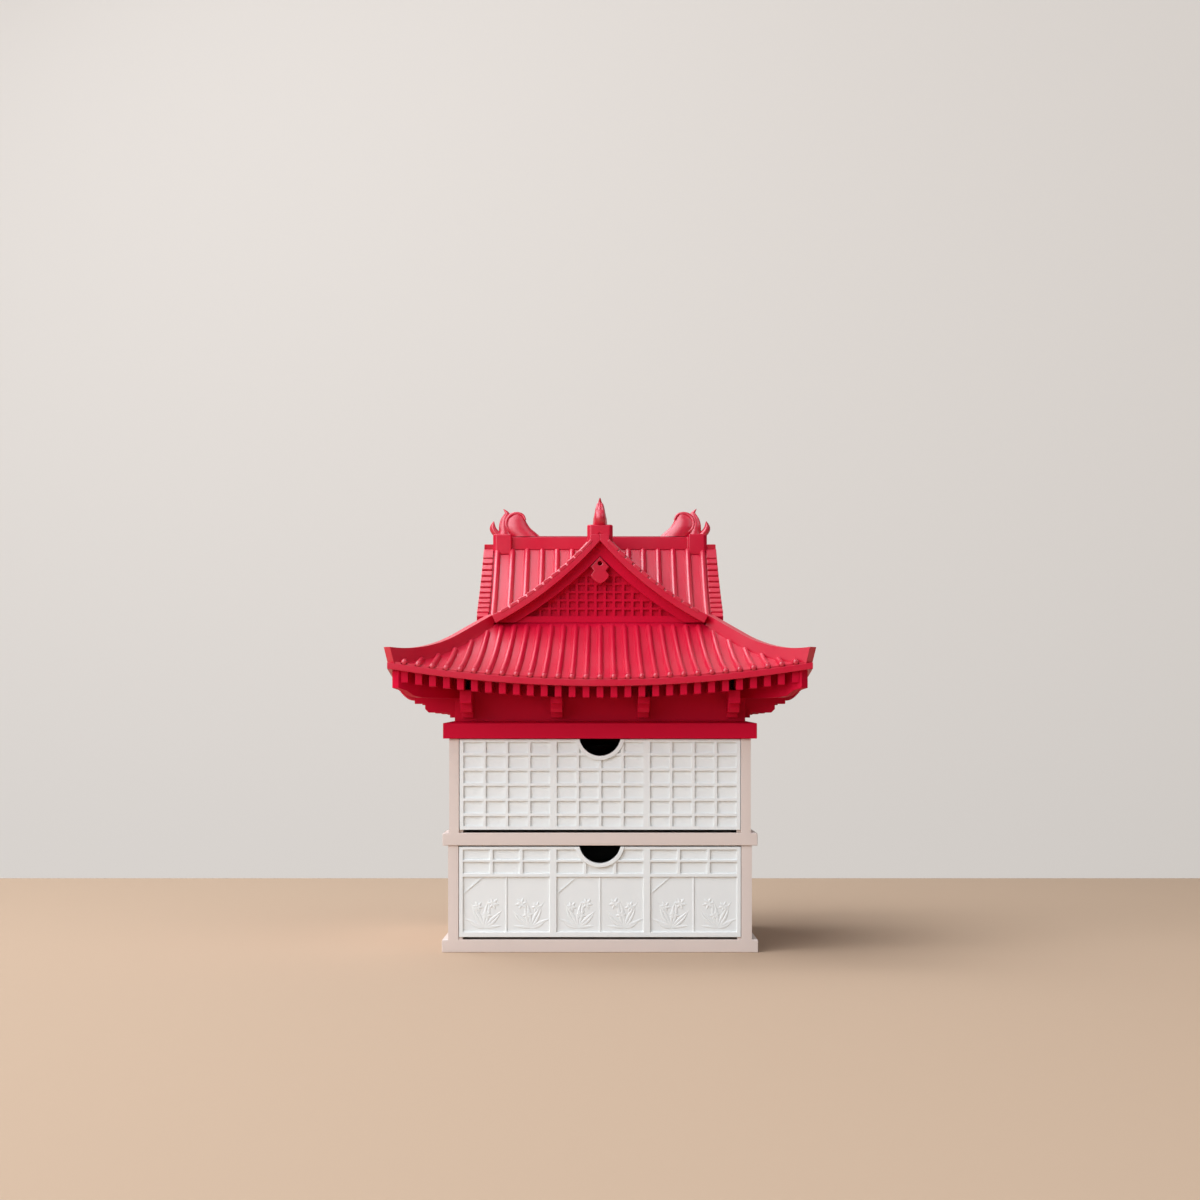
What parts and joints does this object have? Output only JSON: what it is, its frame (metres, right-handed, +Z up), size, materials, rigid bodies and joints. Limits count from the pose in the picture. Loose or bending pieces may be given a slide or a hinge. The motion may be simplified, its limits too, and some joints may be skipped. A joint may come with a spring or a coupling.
{
  "type": "small tansu chest",
  "caption": "Small desk chest of stacked drawer storeys with moulded relief fronts under a lift-off temple-style roof with curved tiled eaves and gables.",
  "frame": {"origin": "centre of the plinth's underside, on the surface that the chest stands on", "axes": "+Z up, drawers open towards -Y, +X to the right of someone facing the drawers"},
  "size_m": [0.2742, 0.2742, 0.2991],
  "materials": {
    "case_beige": "matt moulded, pinkish beige",
    "drawer_white": "matt moulded, warm white",
    "roof_red": "satin moulded, crimson red"
  },
  "bodies": {
    "base": {"lower_case": "case_beige", "lower_runner_left": "case_beige", "lower_runner_right": "case_beige"},
    "lower_drawer": {"lower_drawer_box": "drawer_white", "lower_drawer_front": "drawer_white"},
    "upper_storey": {"upper_case": "case_beige", "upper_runner_left": "case_beige", "upper_runner_right": "case_beige"},
    "upper_drawer": {"upper_drawer_box": "drawer_white", "upper_drawer_front": "drawer_white"},
    "roof": {"roof_sill": "roof_red", "roof_wall": "roof_red", "ridge_cap": "roof_red", "brackets_front": "roof_red", "brackets_right": "roof_red", "brackets_back": "roof_red", "brackets_left": "roof_red", "eave_board_front": "roof_red", "eave_board_right": "roof_red", "eave_board_back": "roof_red", "eave_board_left": "roof_red", "rafters_front": "roof_red", "rafters_right": "roof_red", "rafters_back": "roof_red", "rafters_left": "roof_red", "skirt_tiles_front": "roof_red", "skirt_tiles_right": "roof_red", "skirt_tiles_back": "roof_red", "skirt_tiles_left": "roof_red", "wing_tiles_front": "roof_red", "wing_tiles_right": "roof_red", "wing_tiles_back": "roof_red", "wing_tiles_left": "roof_red", "gable_panel_front": "roof_red", "gable_panel_right": "roof_red", "gable_panel_back": "roof_red", "gable_panel_left": "roof_red", "bargeboard_front": "roof_red", "bargeboard_right": "roof_red", "bargeboard_back": "roof_red", "bargeboard_left": "roof_red", "gable_pendant_front": "roof_red", "gable_pendant_right": "roof_red", "gable_pendant_back": "roof_red", "gable_pendant_left": "roof_red", "ridge_ornament_front": "roof_red", "ridge_ornament_right": "roof_red", "ridge_ornament_back": "roof_red", "ridge_ornament_left": "roof_red", "corner_rafter_front_right": "roof_red", "corner_rafter_back_right": "roof_red", "corner_rafter_back_left": "roof_red", "corner_rafter_front_left": "roof_red", "corner_ridge_front_right": "roof_red", "corner_ridge_back_right": "roof_red", "corner_ridge_back_left": "roof_red", "corner_ridge_front_left": "roof_red"}
  },
  "joints": [
    {"name": "lower_drawer_slide", "type": "slide", "parent": "base", "child": "lower_drawer", "axis": [0, -1, 0], "range_m": [0, 0.14]},
    {"name": "upper_storey_lift", "type": "slide", "parent": "base", "child": "upper_storey", "axis": [0, 0, 1], "range_m": [0, 0.06]},
    {"name": "upper_drawer_slide", "type": "slide", "parent": "upper_storey", "child": "upper_drawer", "axis": [0, -1, 0], "range_m": [0, 0.14]},
    {"name": "roof_lift", "type": "slide", "parent": "upper_storey", "child": "roof", "axis": [0, 0, 1], "range_m": [0, 0.08]}
  ]
}
